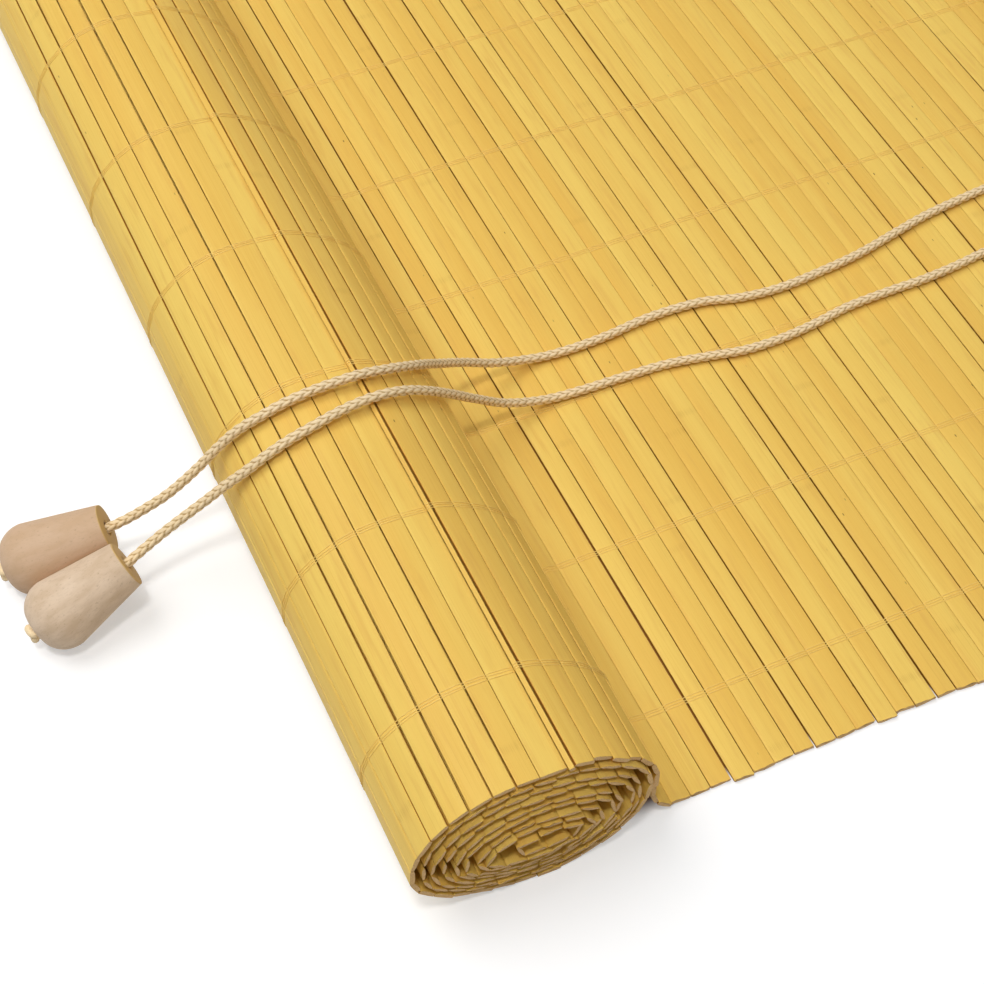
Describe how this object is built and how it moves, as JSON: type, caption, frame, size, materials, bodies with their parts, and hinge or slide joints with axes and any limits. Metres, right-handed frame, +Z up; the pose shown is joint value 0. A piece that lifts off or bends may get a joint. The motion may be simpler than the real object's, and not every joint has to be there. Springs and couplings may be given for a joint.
{
  "type": "bamboo roll up blind",
  "caption": "Sewn mat of flat bamboo slats on a wooden head rail, partly rolled up, with a cord pulley, hanger plates and pull cords that end in turned wooden bells.",
  "frame": {"origin": "on the resting plane, under the middle of the blind without its cords", "axes": "+X along the slats, +Y from the roll to the head rail, +Z up from the resting plane"},
  "size_m": [0.604, 0.5469, 0.062],
  "materials": {
    "bamboo": "satin",
    "thread": "matte",
    "rail_wood": "satin",
    "steel": "satin",
    "nylon": "matte",
    "cord": "matte",
    "bell_wood": "matte"
  },
  "bodies": {
    "blind": {"mat_flat": "bamboo", "mat_roll": "bamboo", "thread_row_1": "thread", "thread_row_2": "thread", "thread_row_3": "thread", "thread_row_4": "thread", "thread_row_5": "thread", "thread_row_6": "thread", "thread_row_7": "thread", "thread_row_8": "thread", "thread_row_9": "thread", "thread_row_10": "thread", "head_rail": "rail_wood", "mat_tacks": "steel", "hanger_near": "steel", "hanger_far": "steel", "hanger_screws": "steel", "pulley_bracket": "steel", "bracket_screws": "steel", "axle": "steel", "axle_washer": "steel", "lift_eye_near": "steel", "lift_eye_far": "steel", "lift_knot_near": "cord", "lift_knot_far": "cord", "cord_far": "cord", "cord_near": "cord", "bell_far": "bell_wood", "bell_near": "bell_wood", "bell_knot_far": "cord", "bell_knot_near": "cord"},
    "sheave_far": {"sheave_far": "nylon"},
    "sheave_near": {"sheave_near": "nylon"}
  },
  "joints": [
    {"name": "sheave_far_spin", "type": "hinge", "parent": "blind", "child": "sheave_far", "pos_m": [0.124, 0.17888, 0.0063], "axis": [0, 0, 1], "continuous": true},
    {"name": "sheave_near_spin", "type": "hinge", "parent": "blind", "child": "sheave_near", "pos_m": [0.124, 0.17888, 0.0124], "axis": [0, 0, 1], "continuous": true}
  ]
}
